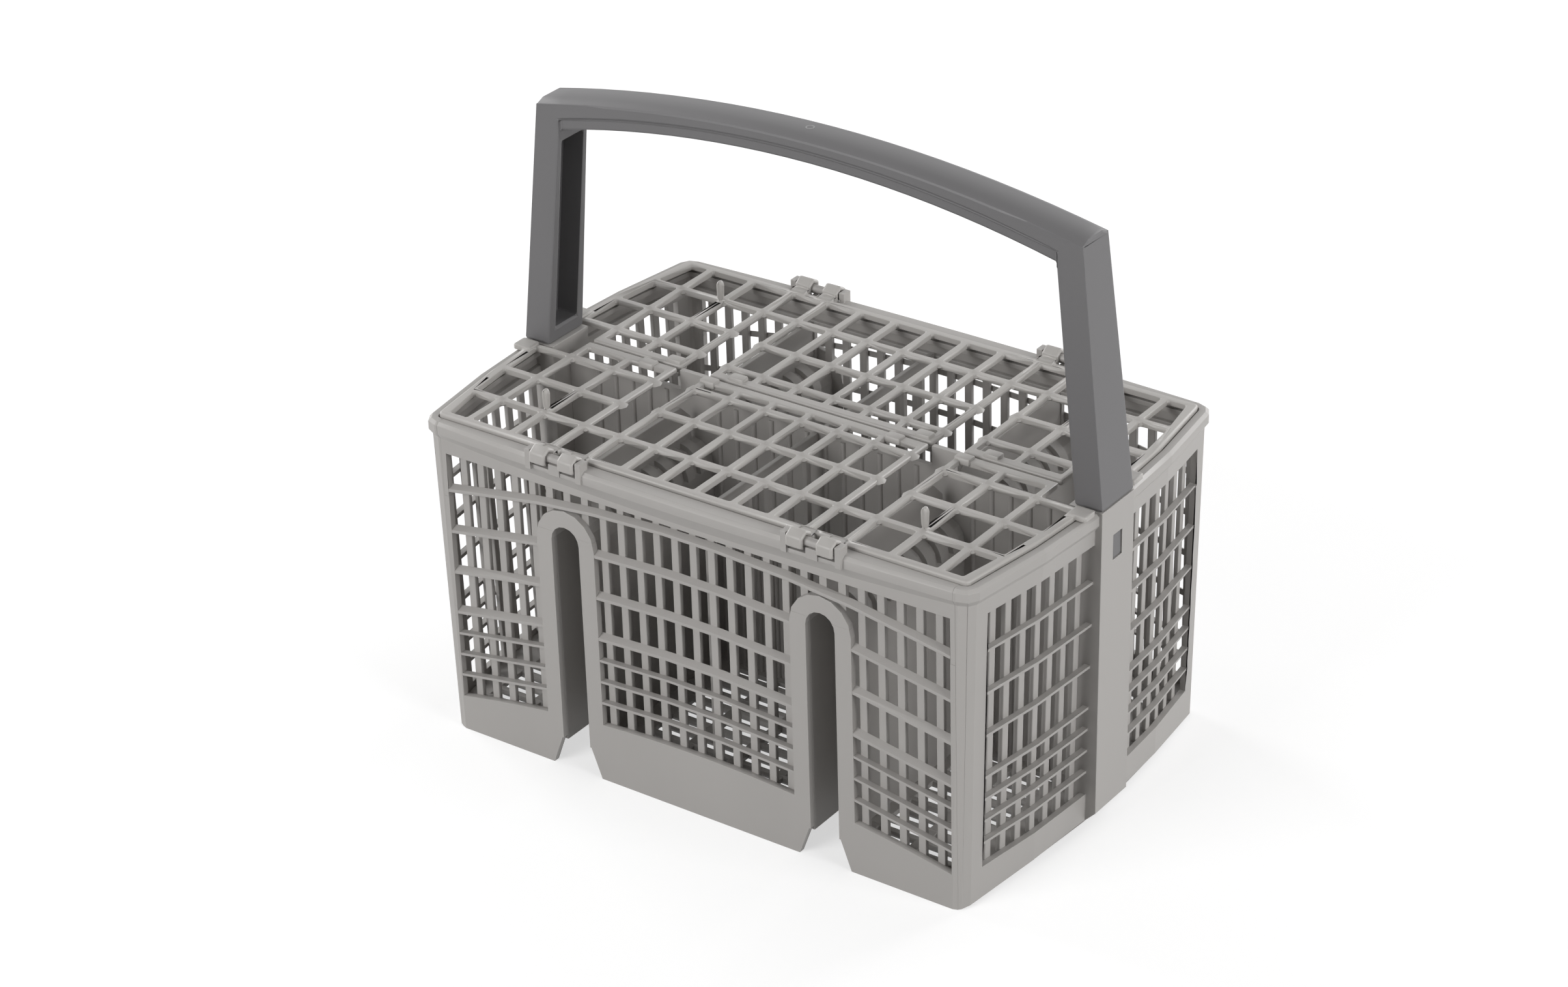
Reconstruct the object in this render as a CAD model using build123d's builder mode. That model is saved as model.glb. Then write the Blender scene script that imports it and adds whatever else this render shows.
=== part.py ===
"""A dishwasher cutlery basket: grille walls around a floor with two tunnels, two hinged grid lids and a bow handle.

Millimetres, +Z up.  X runs along the basket, and the origin is on the floor below its middle.
"""
import os
from math import asin, atan, cos, degrees, hypot, pi, sin, sqrt

from build123d import *

# Walls: straight long sides, and ends that bow outwards and lean in towards the foot
wall_height = 130.5
half_depth = 80.0
foot_reach = 121.8
rim_reach = 125.0
end_radius = 430.0
corner_radius = 5.0
corner_facets = 2
end_breaks = (42.0, 10.0)
arch_breaks = (12.0, 43.0, 69.0, 114.0)
least_radius = 1.0
panel_wall = 2.5
panel_top = 100.0
end_lift = 3.0
lift_run = 8.0
seam_x = 112.0

# Grille: upright bars stand behind the wall, and ribs that slope down outwards cross them in its windows
bar_pitch = 8.0
bar_width = 3.1
bar_depth = 1.9
bar_foot = 13.0
bar_lap = 4.5
rail_height = 4.0
window_half = 109.9
end_window_half = 70.0
window_top = 117.8
sill = 14.4
arch_rise = 11.2
rib_heights = (102.0, 84.8, 67.6, 50.4, 41.4, 32.4, 23.4)
rib_edge = 1.2
rib_drop = 1.4
rib_inset = 0.1

# Rim: a bead that bows out along the sides, with a ledge inside that carries the lids
rim_lip = 1.5
rim_bow = 2.6
rim_bead = 4.5
rim_blend = 6.0
rim_chamfer = 1.2
ledge_height = 127.8
ledge_thickness = 2.0
lid_gap = 0.5

# Tunnels from front to rear, with a raised frame around each mouth and a plate along the crown
tunnel_x = 56.0
tunnel_half = 6.2
tunnel_wall = 2.1
arch_height = 96.7
arch_facets = 8
mouth_half = 13.0
flare_half = 11.3
flare_neck = 6.8
flare_height = 12.0
plate_top = 121.3
plate_gap = 4.0
plate_chamfer = 6.0

# Inside: slotted floor, centre wall and fences
floor_height = 10.0
floor_thickness = 2.0
floor_margin = 4.0
floor_pitch = 20.0
floor_bar = 4.0
divider = 2.0
centre_top = 123.5
bridge_half = 5.5
bridge_top = 131.4
fence_top = 122.7
fence_rail = 4.0
fence_bar = 2.4
fence_pitch = 12.0

# End posts that hold the handle
post_half = 10.8
post_inner = 114.0
post_top_reach = 127.5
post_foot_reach = 126.2
post_top = 131.0
post_chamfer = 4.5
post_wall = 2.2
tongue_half = 6.5
tongue_inner = 118.4
tongue_outer = 125.0
tongue_depth = 30.0
fit_gap = 0.15
catch_half = 3.0
catch_low = 109.0
catch_high = 119.0
catch_sink = 0.5

# Lids: flat grids with their hinge hooks on the outer edge
lid_depth = 4.0
lid_top = 132.0
grid_bar = 3.6
column_pitch = 16.0
middle_columns = 3
outer_columns = (64.0, 82.7, 102.4)
first_row = 55.4
middle_rows = (31.9, 10.6)
outer_rows = (34.6, 13.9)
meeting_bar = 4.5
meeting_gap = 0.8
notch_x = 104.2
peg_x = 82.7
peg_row = 52.0
peg_width = 3.5
peg_height = 8.5
peg_chamfer = 1.0
tab_reach = 126.0
tab_width = 8.0
tab_thickness = 2.2
tab_lift = 0.3

# Hinges: two hooks on each lid turn on a rod that the rim holds
rod_radius = 1.6
rod_depth = 82.4
rod_height = 131.8
hinge_half = 12.5
hook_spread = 6.3
hook_width = 6.9
hook_play = 0.05
hook_radius = 3.95
hook_sides = 6
hook_gap = 0.4
hook_arm_drop = 2.8
hook_arm_rise = 0.7
hook_mouth = 2.6
boss_radius = 2.2

# Handle: two leaning legs and an arched grip
grip_top = 241.0
grip_end = 228.5
grip_reach = 117.0
grip_height = 8.6
grip_half = 8.3
grip_crown = 1.7
grip_flat = 4.5
leg_thickness = 11.2
leg_half = 10.4
leg_reach = 127.3
leg_wall = 1.8
channel_foot = 6.0
channel_head = 5.0
groove_height = 4.5
groove_depth = 0.7

# Sizes that follow from those above
end_centre = rim_reach - end_radius
lean = (rim_reach - foot_reach) / wall_height
inner_inset = panel_wall + bar_depth
arch_radius = (window_half**2 + arch_rise**2) / (2 * arch_rise)
rim_low = wall_height - rim_bead
lid_inset = panel_wall + lid_gap
tunnel_outer = tunnel_half + tunnel_wall
floor_top = floor_height + floor_thickness
inner_depth = half_depth - inner_inset
panel_depth = half_depth - panel_wall
hook_hole = rod_radius + hook_play
hook_turn = 180 / hook_sides
through = 2 * rim_reach
two_tunnels = ((-tunnel_x, 0), (tunnel_x, 0))


def arc_x(inset, depth):
    """Place on the bowed end at foot level, set in from its outer face, at a distance from the middle plane."""
    return end_centre + sqrt((foot_reach - end_centre - inset) ** 2 - depth**2)


def quarter(height, inset):
    """Points of a quarter of the outline at a height, from a long side round the corner and along the end."""
    depth = half_depth - inset
    rounding = max(corner_radius - inset, least_radius)
    turn = pi / 2 - asin(half_depth / end_radius)
    end_depth = depth - rounding * (1 - cos(turn))
    start = arc_x(inset, end_depth) - rounding * sin(turn)
    steps = [turn * step / corner_facets for step in range(corner_facets + 1)]
    points = [(start + rounding * sin(step), depth - rounding * (1 - cos(step))) for step in steps]
    points += [(arc_x(inset, middle), middle) for middle in end_breaks]
    return [(x + lean * height, y) for x, y in points]


def end_x(height, inset, depth):
    """Place on the faceted end at a height, set in from its outer face, at a distance from the middle plane."""
    points = quarter(height, inset) + [(quarter(height, inset)[-1][0], 0)]
    for (far_x, far), (near_x, near) in zip(points[:-1], points[1:]):
        if near <= abs(depth) <= far:
            return near_x + (far_x - near_x) * (abs(depth) - near) / (far - near)


def outline(height, inset, bow=0.0):
    """Face that fills the outline at a height, set in from the outer face, with long sides that may bow out."""
    points = quarter(height, inset)
    corner = points[0]
    with BuildSketch(Plane.XY.offset(height)) as face:
        with BuildLine():
            Polyline((-corner[0], 0), (-corner[0], corner[1]))
            if bow:
                ThreePointArc((-corner[0], corner[1]), (0, corner[1] + bow), corner)
            else:
                Line((-corner[0], corner[1]), corner)
            Polyline(*points, (points[-1][0], 0), (-corner[0], 0))
        make_face()
        mirror(about=Plane.YZ)
        mirror(about=Plane.XZ)
    return face.sketch


def block(inset, bottom, top):
    """Solid that fills the outline between two heights, with ends that lean outwards."""
    points = quarter(0, inset)
    with BuildPart() as solid:
        with BuildSketch():
            with BuildLine():
                Polyline((-through, 0), (-through, half_depth - inset), *points, (points[-1][0], 0), close=True)
            make_face()
            mirror(about=Plane.XZ)
        extrude(amount=top * hypot(1, lean), dir=(lean, 0, 1))
        split(bisect_by=Plane.YZ, keep=Keep.TOP)
        if bottom:
            split(bisect_by=Plane.XY.offset(bottom), keep=Keep.TOP)
        mirror(about=Plane.YZ)
    return solid.part


def arch(half_width, foot):
    """Round-topped outline of a tunnel about its own axis, its round in flat facets."""
    turns = [pi * step / arch_facets for step in range(arch_facets + 1)]
    crown = [(half_width * cos(turn), arch_height + half_width * sin(turn)) for turn in turns]
    with BuildSketch() as outline:
        with BuildLine():
            Polyline((half_width, foot), *crown, (-half_width, foot), close=True)
        make_face()
    return outline.sketch


def arched(height):
    """Points along a rib that arches over a long wall, in straight runs, from a height at the wall's ends."""
    crest = height + arch_rise
    right = [(x, crest - arch_radius + sqrt(arch_radius**2 - x**2)) for x in arch_breaks]
    return [(-x, z) for x, z in reversed(right)] + right


def band(points, below, above):
    """Face that follows a row of points, from a distance below them to a distance above."""
    low = [(x, z - below) for x, z in points]
    high = [(x, z + above) for x, z in reversed(points)]
    with BuildSketch() as strip:
        with BuildLine():
            Polyline(*low, *high, close=True)
        make_face()
    return strip.sketch


def bay(left, right):
    """Floor between two upright planes across the basket, slotted from front to rear."""
    low = max(left, -window_half)
    high = min(right, window_half)
    count = int((high - low - floor_margin) / floor_pitch)
    slab = block(panel_wall, floor_height, floor_top)
    with BuildPart() as floor:
        add(slab)
        split(bisect_by=Plane.YZ.offset(left), keep=Keep.TOP)
        split(bisect_by=Plane.YZ.offset(right), keep=Keep.BOTTOM)
        with BuildSketch(Plane.XY.offset(floor_height)):
            with Locations(((low + high) / 2, 0)):
                with GridLocations(floor_pitch, panel_depth, count, 2):
                    Rectangle(floor_pitch - floor_bar, panel_depth - 2 * floor_margin)
            with Locations((-post_inner, 0)):
                Rectangle(through, 2 * post_half, align=(Align.MAX, Align.CENTER))
            with Locations((post_inner, 0)):
                Rectangle(through, 2 * post_half, align=(Align.MIN, Align.CENTER))
        extrude(amount=floor_thickness, mode=Mode.SUBTRACT)
    return floor


# Plain shell with its rim, ledge and pocket for the lids
outside = block(0, 0, wall_height)
inside = block(panel_wall, 0, ledge_height - ledge_thickness)
ledge_mouth = block(inner_inset, 0, ledge_height)
lid_pocket = block(panel_wall, ledge_height, wall_height + rim_bead)
rim_edge = outline(rim_low, -rim_lip, rim_bow)
rim_flare = degrees(atan((rim_lip + rim_bow) / rim_blend))
with BuildPart() as shell:
    add(outside)
    extrude(rim_edge, amount=rim_blend, dir=(0, 0, -1), taper=rim_flare)
    extrude(rim_edge, amount=rim_bead)
    chamfer(shell.edges().group_by(Axis.Z)[-1], rim_chamfer)
    add(inside, mode=Mode.SUBTRACT)
    add(ledge_mouth, mode=Mode.SUBTRACT)
    add(lid_pocket, mode=Mode.SUBTRACT)
    with BuildSketch(Plane.XZ):
        with BuildLine():
            Polyline((seam_x, 0), (seam_x + lift_run, end_lift), (through, end_lift), (through, 0), close=True)
        make_face()
        mirror(about=Plane.YZ)
    extrude(amount=through, both=True, mode=Mode.SUBTRACT)

# Grille of a long wall: the window, its ribs, and a comb of bars behind it that hangs from a rail
mouth_frame = arch(mouth_half, 0)
tunnel_hole = arch(tunnel_half, 0)
with BuildSketch() as long_window:
    with BuildLine():
        Polyline((window_half, sill), (window_half, window_top), (-window_half, window_top), (-window_half, sill))
        ThreePointArc((-window_half, sill), (0, sill + arch_rise), (window_half, sill))
    make_face()
    with Locations(*two_tunnels):
        add(mouth_frame, mode=Mode.SUBTRACT)

bar_count = 2 * int((window_half - bar_width / 2) / bar_pitch) + 1
mouth_bars = 2 * int((mouth_half + bar_width / 2) / bar_pitch) + 1
mouth_top = arch_height + mouth_half
with BuildSketch() as long_comb:
    with Locations((0, window_top)):
        Rectangle(2 * (window_half + bar_depth), rail_height, align=(Align.CENTER, Align.MIN))
        with GridLocations(bar_pitch, 0, bar_count, 1):
            Rectangle(bar_width, window_top - bar_foot, align=(Align.CENTER, Align.MAX))
    for tunnel in (-tunnel_x, tunnel_x):
        with Locations((tunnel, mouth_top - bar_lap)):
            with GridLocations(bar_pitch, 0, mouth_bars, 1):
                Rectangle(bar_pitch, mouth_top, align=(Align.CENTER, Align.MAX), mode=Mode.SUBTRACT)

rib_depth = panel_wall - rib_inset
rib_slope = degrees(atan(rib_drop / rib_depth))
rib_bands = [band(arched(height), rib_drop, rib_edge + rib_drop) for height in rib_heights]
rib_undersides = [band(arched(height), bar_pitch, 0) for height in rib_heights]
with BuildPart() as long_ribs:
    for strip in rib_bands:
        with BuildSketch(Plane.XZ.offset(panel_depth)):
            add(strip)
        extrude(amount=rib_depth, taper=rib_slope)
    with BuildSketch(Plane.XZ.offset(panel_depth)):
        for strip in rib_undersides:
            add(strip)
    extrude(amount=through, mode=Mode.SUBTRACT)
    with BuildSketch(Plane.XZ):
        add(long_window.sketch)
    extrude(amount=through, mode=Mode.INTERSECT)

with BuildPart() as front_bars:
    with BuildSketch(Plane.XZ.offset(inner_depth)):
        add(long_comb.sketch)
    extrude(amount=bar_depth)

with BuildPart() as rear_bars:
    mirror(front_bars.part, about=Plane.XZ)

# Grille of an end wall, made the same way
with BuildSketch() as end_window:
    with Locations((post_half, sill)):
        Rectangle(end_window_half - post_half, window_top - sill, align=(Align.MIN, Align.MIN))
    mirror(about=Plane.YZ)

end_bar_count = 2 * int((end_window_half - bar_width / 2) / bar_pitch) + 1
with BuildSketch() as end_comb:
    with Locations((0, window_top)):
        Rectangle(2 * (end_window_half + bar_depth), rail_height, align=(Align.CENTER, Align.MIN))
        with GridLocations(bar_pitch, 0, end_bar_count, 1):
            Rectangle(bar_width, window_top - bar_foot, align=(Align.CENTER, Align.MAX))
    Rectangle(2 * post_half, 2 * through, mode=Mode.SUBTRACT)

end_slope = degrees(atan(rib_depth / rib_drop))
rib_feet = [outline(height, rib_inset) for height in rib_heights]
rib_edges = [outline(height + rib_edge, rib_inset) for height in rib_heights]
wall_hollow = block(panel_wall, 0, wall_height)
bar_hollow = block(inner_inset, 0, wall_height)
with BuildPart() as end_ribs:
    for foot, edge in zip(rib_feet, rib_edges):
        extrude(foot, amount=rib_edge)
        extrude(edge, amount=rib_drop, taper=end_slope)
    add(wall_hollow, mode=Mode.SUBTRACT)
    with BuildSketch(Plane.YZ):
        add(end_window.sketch)
    extrude(amount=through, mode=Mode.INTERSECT)

with BuildPart() as right_bars:
    add(wall_hollow)
    add(bar_hollow, mode=Mode.SUBTRACT)
    with BuildSketch(Plane.YZ):
        add(end_comb.sketch)
    extrude(amount=through, mode=Mode.INTERSECT)

with BuildPart() as left_bars:
    mirror(right_bars.part, about=Plane.YZ)

# Long sides with their tunnel mouths, hinge rods and the bosses that hold them: a wall along the top and three
# panels below it
notch_half = hook_spread + hook_width / 2 + hook_gap
notch_low = rod_height - hook_radius - hook_gap
lug_half = hook_spread - hook_width / 2 - hook_gap
lug_front = rod_depth + rod_radius
lug_top = rod_height - rod_radius - hook_play
lug_root = half_depth - panel_wall / 2
with BuildSketch() as flare:
    with BuildLine():
        Polyline(
            (-flare_half, 0), (flare_half, 0), (flare_neck, flare_height), (-flare_neck, flare_height), close=True
        )
    make_face()

with BuildPart() as front_side:
    add(shell.part)
    split(bisect_by=Plane.XZ, keep=Keep.TOP)
    split(bisect_by=Plane.YZ.offset(seam_x), keep=Keep.BOTTOM)
    split(bisect_by=Plane.YZ.offset(-seam_x), keep=Keep.TOP)
    with BuildSketch(Plane.XZ):
        add(long_window.sketch)
    extrude(amount=through, mode=Mode.SUBTRACT)
    add(long_ribs.part)
    with BuildSketch(Plane.XZ):
        with Locations(*two_tunnels):
            add(tunnel_hole)
            add(flare.sketch)
    extrude(amount=through, mode=Mode.SUBTRACT)
    for hinge in (-tunnel_x, tunnel_x):
        with BuildSketch(Plane.XZ.offset(panel_depth)):
            with Locations((hinge, notch_low)):
                Rectangle(2 * notch_half, rim_bead, align=(Align.CENTER, Align.MIN))
        extrude(amount=through, mode=Mode.SUBTRACT)
        with BuildSketch(Plane.YZ.offset(hinge)):
            with Locations((-rod_depth, rod_height)):
                Circle(rod_radius)
        extrude(amount=hinge_half, both=True)
        with BuildSketch(Plane.YZ.offset(hinge)):
            with BuildLine():
                Polyline(
                    (-lug_root, rim_low - rod_radius),
                    (-lug_front, rim_low),
                    (-lug_front, lug_top),
                    (-lug_root, lug_top),
                    close=True,
                )
            make_face()
        extrude(amount=lug_half, both=True)
        for side in (-1, 1):
            with BuildSketch(Plane.YZ.offset(hinge + side * notch_half)):
                with Locations((-rod_depth, rod_height + boss_radius)):
                    Rectangle(2 * boss_radius, rod_height + boss_radius - rim_low, align=(Align.CENTER, Align.MAX))
            extrude(amount=side * (hinge_half - notch_half))

with BuildPart() as front_wall:
    add(front_side.part)
    split(bisect_by=Plane.XY.offset(panel_top), keep=Keep.TOP)

with BuildPart() as front_panels:
    add(front_side.part)
    split(bisect_by=Plane.XY.offset(panel_top), keep=Keep.BOTTOM)

with BuildPart() as rear_wall:
    mirror(front_wall.part, about=Plane.XZ)

with BuildPart() as rear_panels:
    mirror(front_panels.part, about=Plane.XZ)

# Ends with the post that takes the handle
with BuildPart() as right_end:
    add(shell.part)
    split(bisect_by=Plane.YZ.offset(seam_x), keep=Keep.TOP)
    with BuildSketch(Plane.YZ):
        add(end_window.sketch)
    extrude(amount=through, mode=Mode.SUBTRACT)
    add(end_ribs.part)
    with BuildSketch(Plane.XZ):
        with BuildLine():
            Polyline(
                (post_inner, end_lift),
                (post_foot_reach - post_chamfer, end_lift),
                (post_foot_reach, end_lift + post_chamfer),
                (post_top_reach, post_top),
                (post_inner, post_top),
                close=True,
            )
        make_face()
    extrude(amount=post_half, both=True)
    with BuildSketch(Plane.XY.offset(post_top)):
        with Locations(((tongue_inner + tongue_outer) / 2, 0)):
            Rectangle(tongue_outer - tongue_inner + 2 * fit_gap, 2 * (tongue_half + fit_gap))
    extrude(amount=-tongue_depth - fit_gap, mode=Mode.SUBTRACT)
    with BuildSketch(Plane.XY.offset(end_lift)):
        with Locations((post_inner + post_wall, 0)):
            Rectangle(
                post_foot_reach - post_chamfer - post_inner - 2 * post_wall,
                2 * (post_half - post_wall),
                align=(Align.MIN, Align.CENTER),
            )
    extrude(amount=post_top - tongue_depth - 2 * post_wall - end_lift, mode=Mode.SUBTRACT)
    with BuildSketch(Plane.YZ.offset(tongue_outer)):
        with Locations((0, catch_low)):
            Rectangle(2 * catch_half, catch_high - catch_low, align=(Align.CENTER, Align.MIN))
    extrude(amount=through, mode=Mode.SUBTRACT)

with BuildPart() as left_end:
    mirror(right_end.part, about=Plane.YZ)

# Floor in three bays, with the tunnels between them
tunnel_inner_face = tunnel_x - tunnel_outer
tunnel_outer_face = tunnel_x + tunnel_outer
left_floor = bay(-through, -tunnel_outer_face)
middle_floor = bay(-tunnel_inner_face, tunnel_inner_face)
right_floor = bay(tunnel_outer_face, through)

tunnel_skin = arch(tunnel_outer, floor_height)
crown = arch_height + tunnel_half + tunnel_wall / 2
with BuildPart() as right_tunnel:
    with BuildSketch(Plane.XZ):
        with Locations((tunnel_x, 0)):
            add(tunnel_skin)
            add(tunnel_hole, mode=Mode.SUBTRACT)
    extrude(amount=panel_depth, both=True)
    with BuildSketch(Plane.YZ.offset(tunnel_x)):
        with BuildLine():
            Polyline(
                (plate_gap, crown),
                (inner_depth, crown),
                (inner_depth, plate_top),
                (plate_gap + plate_chamfer, plate_top),
                (plate_gap, plate_top - plate_chamfer),
                close=True,
            )
        make_face()
        mirror(about=Plane.YZ)
    extrude(amount=divider / 2, both=True)

with BuildPart() as left_tunnel:
    mirror(right_tunnel.part, about=Plane.YZ)

# Dividers: a centre wall that bridges over the tunnels, and a fence on either side of it
with BuildPart() as centre_wall:
    with BuildSketch(Plane.XZ):
        with Locations((0, floor_top)):
            Rectangle(2 * post_inner, centre_top - floor_top, align=(Align.CENTER, Align.MIN))
        with Locations((-tunnel_x, floor_top), (tunnel_x, floor_top)):
            Rectangle(2 * bridge_half, bridge_top - floor_top, align=(Align.CENTER, Align.MIN))
        with Locations(*two_tunnels):
            add(tunnel_skin, mode=Mode.SUBTRACT)
    extrude(amount=divider / 2, both=True)

with BuildPart() as front_fence:
    with BuildSketch(Plane.YZ):
        with Locations((-divider / 2, fence_top)):
            Rectangle(inner_depth - divider / 2, fence_rail, align=(Align.MAX, Align.MAX))
        with Locations((-inner_depth / 2, floor_top)):
            with GridLocations(fence_pitch, 0, int(inner_depth / fence_pitch), 1):
                Rectangle(fence_bar, fence_top - floor_top, align=(Align.CENTER, Align.MIN))
    extrude(amount=divider / 2, both=True)

with BuildPart() as rear_fence:
    mirror(front_fence.part, about=Plane.XZ)

# Lids: the front one, and its mirror image at the rear
lid_low = lid_top - lid_depth
lid_edge = half_depth - lid_inset
half_bar = grid_bar / 2
edge_row = lid_edge - half_bar
meeting_row = meeting_gap + meeting_bar
slot_column = outer_columns[0]
last_middle = middle_columns * column_pitch


def end_bar_x(depth):
    """Inner side of the lid's end bar at a distance from the middle plane."""
    return end_x(lid_low, lid_inset + grid_bar, depth)


def cell(left, right, outer, inner):
    """Opening of the front lid's grid between two columns and two rows, drawn into the sketch at hand."""
    with Locations(((left + right) / 2, -(outer + inner) / 2)):
        Rectangle(right - left - grid_bar, outer - inner - grid_bar)


def row_pairs(rows):
    """Neighbouring rows of the grid, from the hinge edge inwards."""
    edges = (edge_row, first_row) + rows
    return list(zip(edges[:-1], edges[1:]))


with BuildSketch() as lid_cells:
    cell(last_middle, slot_column, edge_row, first_row)
    cell(last_middle, slot_column, first_row, -grid_bar)
    for left, right in zip(outer_columns[:-1], outer_columns[1:]):
        for outer, inner in row_pairs(outer_rows):
            cell(left, right, outer, inner)
        cell(left, right, outer_rows[-1], meeting_row - half_bar)
    for outer, inner in row_pairs(outer_rows):
        near = -(inner + half_bar)
        far = -(outer - half_bar)
        with BuildLine():
            Polyline((notch_x, near), (end_bar_x(near), near), (end_bar_x(far), far), (notch_x, far), close=True)
        make_face()
    for column in range(middle_columns):
        left = column * column_pitch
        for outer, inner in row_pairs(middle_rows):
            cell(left, left + column_pitch, outer, inner)
        cell(left, left + column_pitch, middle_rows[-1], meeting_row - half_bar)
    with Locations((notch_x, 0)):
        Rectangle(through, 2 * (outer_rows[-1] - half_bar), align=(Align.MIN, Align.CENTER))
    mirror(about=Plane.YZ)

lid_slab = block(lid_inset, lid_low, lid_top)
with BuildPart() as front_lid:
    add(lid_slab)
    split(bisect_by=Plane.XZ.offset(meeting_gap), keep=Keep.TOP)
    with BuildSketch(Plane.XY.offset(lid_low)):
        add(lid_cells.sketch)
    extrude(amount=lid_depth, mode=Mode.SUBTRACT)
    for hinge in (-tunnel_x, tunnel_x):
        for spread in (-hook_spread, hook_spread):
            with BuildSketch(Plane.YZ.offset(hinge + spread)):
                with Locations((-rod_depth, rod_height)):
                    RegularPolygon(hook_radius, hook_sides, rotation=hook_turn)
                with Locations((-rod_depth, rod_height + hook_arm_rise)):
                    Rectangle(
                        rod_depth - edge_row,
                        hook_arm_rise + hook_arm_drop,
                        align=(Align.MIN, Align.MAX),
                    )
                with Locations((-rod_depth, rod_height)):
                    RegularPolygon(hook_hole, hook_sides, major_radius=False, rotation=hook_turn, mode=Mode.SUBTRACT)
                    Rectangle(hook_mouth, 2 * hook_radius, align=(Align.CENTER, Align.MAX), mode=Mode.SUBTRACT)
            extrude(amount=hook_width / 2, both=True)
    for side in (-1, 1):
        with BuildSketch(Plane.XZ.offset(peg_row)) as peg:
            with Locations((side * peg_x, lid_top)):
                Rectangle(peg_width, peg_height, align=(Align.CENTER, Align.MIN))
            chamfer(peg.vertices().group_by(Axis.Z)[-1], peg_chamfer)
        extrude(amount=peg_width)
        with BuildSketch(Plane.XY.offset(wall_height + tab_lift)):
            with Locations((side * tab_reach, half_bar - outer_rows[-1])):
                Rectangle(
                    tab_reach - end_bar_x(outer_rows[-1]),
                    tab_width,
                    align=(Align.MAX if side > 0 else Align.MIN, Align.MAX),
                )
        extrude(amount=tab_thickness)

with BuildPart() as rear_lid:
    mirror(front_lid.part, about=Plane.XZ)

# Handle: one outline in elevation, narrowed towards the top and crowned along the grip
grip_rise = grip_top - grip_end
grip_radius = (grip_reach**2 + grip_rise**2) / (2 * grip_rise)
leg_lean = (leg_reach - grip_reach) / (grip_end - post_top)
under_end = grip_end - grip_height
under_top = grip_top - grip_height
ridge_end = grip_end + grip_crown


def leg_outer(height):
    """Outer face of the leaning leg at a height."""
    return leg_reach - leg_lean * (height - post_top)


def leg_inner(height):
    """Inner face of the leaning leg at a height."""
    return leg_outer(height) - leg_thickness


with BuildPart() as handle:
    with BuildSketch(Plane.XZ):
        with BuildLine():
            Polyline(
                (-leg_outer(ridge_end), ridge_end),
                (-leg_reach, post_top),
                (-leg_inner(post_top), post_top),
                (-leg_inner(under_end), under_end),
            )
            ThreePointArc((-leg_inner(under_end), under_end), (0, under_top), (leg_inner(under_end), under_end))
            Polyline(
                (leg_inner(under_end), under_end),
                (leg_inner(post_top), post_top),
                (leg_reach, post_top),
                (leg_outer(ridge_end), ridge_end),
            )
            ThreePointArc(
                (leg_outer(ridge_end), ridge_end), (0, grip_top + grip_crown), (-leg_outer(ridge_end), ridge_end)
            )
        make_face()
    extrude(amount=leg_half, both=True)
    with BuildSketch(Plane.YZ):
        with BuildLine():
            Polyline(
                (0, post_top),
                (leg_half, post_top),
                (grip_half, grip_end),
                (grip_half, grip_top + grip_crown),
                (0, grip_top + grip_crown),
                close=True,
            )
        make_face()
        mirror(about=Plane.YZ)
    extrude(amount=through, both=True, mode=Mode.INTERSECT)
    with BuildSketch(Plane.YZ):
        with BuildLine():
            Polyline(
                (-grip_half, grip_top),
                (-leg_half, grip_top),
                (-leg_half, 0),
                (leg_half, 0),
                (leg_half, grip_top),
                (grip_half, grip_top),
                (grip_flat, grip_top + grip_crown),
                (-grip_flat, grip_top + grip_crown),
                close=True,
            )
        make_face()
    revolve(axis=Axis((0, 0, grip_top - grip_radius), (0, 1, 0)), mode=Mode.INTERSECT)
    for side in (-1, 1):
        with BuildSketch(Plane.XZ.offset(side * (grip_half - groove_depth))):
            with BuildLine():
                Polyline(
                    (-leg_inner(under_end), under_end + groove_height),
                    (-leg_inner(under_end), under_end - grip_height),
                    (leg_inner(under_end), under_end - grip_height),
                    (leg_inner(under_end), under_end + groove_height),
                )
                ThreePointArc(
                    (leg_inner(under_end), under_end + groove_height),
                    (0, under_top + groove_height),
                    (-leg_inner(under_end), under_end + groove_height),
                )
            make_face()
        extrude(amount=side * leg_half, mode=Mode.SUBTRACT)
    with BuildSketch(Plane.XZ):
        low = post_top + channel_foot
        high = under_end - channel_head
        with BuildLine():
            Polyline(
                (leg_inner(low) - leg_wall, low),
                (leg_outer(low) - leg_wall, low),
                (leg_outer(high) - leg_wall, high),
                (leg_inner(high) - leg_wall, high),
                close=True,
            )
        make_face()
        mirror(about=Plane.YZ)
    extrude(amount=grip_half - leg_wall, both=True, mode=Mode.SUBTRACT)
    tongue_centre = (tongue_inner + tongue_outer) / 2
    with BuildSketch(Plane.XY.offset(post_top)):
        with Locations((-tongue_centre, 0), (tongue_centre, 0)):
            Rectangle(tongue_outer - tongue_inner, 2 * tongue_half)
    extrude(amount=-tongue_depth)
    for side in (-1, 1):
        with BuildSketch(Plane.YZ.offset(side * tongue_outer)):
            with Locations((0, catch_low + fit_gap)):
                Rectangle(
                    2 * (catch_half - fit_gap),
                    catch_high - catch_low - 2 * fit_gap,
                    align=(Align.CENTER, Align.MIN),
                )
        extrude(amount=side * (post_top_reach - tongue_outer - catch_sink))

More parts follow.
